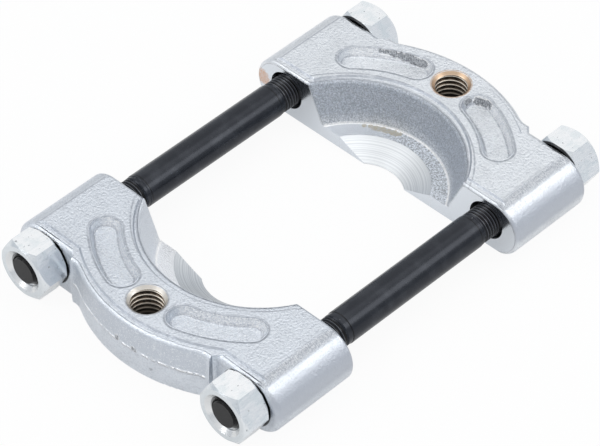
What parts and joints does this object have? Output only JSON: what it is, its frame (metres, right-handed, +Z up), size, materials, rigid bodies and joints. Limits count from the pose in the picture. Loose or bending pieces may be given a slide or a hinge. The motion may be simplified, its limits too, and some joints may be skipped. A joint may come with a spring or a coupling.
{
  "type": "bearing separator",
  "caption": "Bearing separator for a puller: forged split jaws with bevelled knife edges, drawn together by nuts on threaded studs.",
  "frame": {"origin": "under the middle of the tool, on the surface it lies on", "axes": "+X across the studs towards the right stud, +Y along the studs from the front jaw to the rear jaw, +Z up, away from the knife edges"},
  "size_m": [0.1436, 0.2008, 0.025],
  "materials": {
    "plated_jaw": "zinc plated forging, satin",
    "black_stud": "black oxide, satin",
    "plated_nut": "bright zinc plated"
  },
  "bodies": {
    "studs": {"left_stud": "black_stud", "right_stud": "black_stud"},
    "front_jaw": {"front_jaw": "plated_jaw"},
    "rear_jaw": {"rear_jaw": "plated_jaw"},
    "front_left_nut": {"front_left_nut": "plated_nut"},
    "front_right_nut": {"front_right_nut": "plated_nut"},
    "rear_left_nut": {"rear_left_nut": "plated_nut"},
    "rear_right_nut": {"rear_right_nut": "plated_nut"}
  },
  "joints": [
    {"name": "front_jaw_slide", "type": "slide", "parent": "studs", "child": "front_jaw", "axis": [0, 1, 0], "range_m": [0, 0.0461]},
    {"name": "front_left_nut_turn", "type": "hinge", "parent": "front_jaw", "child": "front_left_nut", "pos_m": [-0.055, -0.0939, 0.0125], "axis": [0, 1, 0], "range_deg": [0, 11064.5]},
    {"name": "front_right_nut_turn", "type": "hinge", "parent": "front_jaw", "child": "front_right_nut", "pos_m": [0.055, -0.0939, 0.0125], "axis": [0, 1, 0], "range_deg": [0, 11064.5]},
    {"name": "rear_jaw_slide", "type": "slide", "parent": "studs", "child": "rear_jaw", "axis": [0, -1, 0], "range_m": [0, 0.0461]},
    {"name": "rear_left_nut_turn", "type": "hinge", "parent": "rear_jaw", "child": "rear_left_nut", "pos_m": [-0.055, 0.0939, 0.0125], "axis": [0, -1, 0], "range_deg": [0, 11064.5]},
    {"name": "rear_right_nut_turn", "type": "hinge", "parent": "rear_jaw", "child": "rear_right_nut", "pos_m": [0.055, 0.0939, 0.0125], "axis": [0, -1, 0], "range_deg": [0, 11064.5]}
  ],
  "couplings": [
    {"joint": "front_left_nut_turn", "follows": "front_jaw_slide", "rad_per_m": 4188.8},
    {"joint": "front_right_nut_turn", "follows": "front_jaw_slide", "rad_per_m": 4188.8},
    {"joint": "rear_left_nut_turn", "follows": "rear_jaw_slide", "rad_per_m": 4188.8},
    {"joint": "rear_right_nut_turn", "follows": "rear_jaw_slide", "rad_per_m": 4188.8}
  ]
}
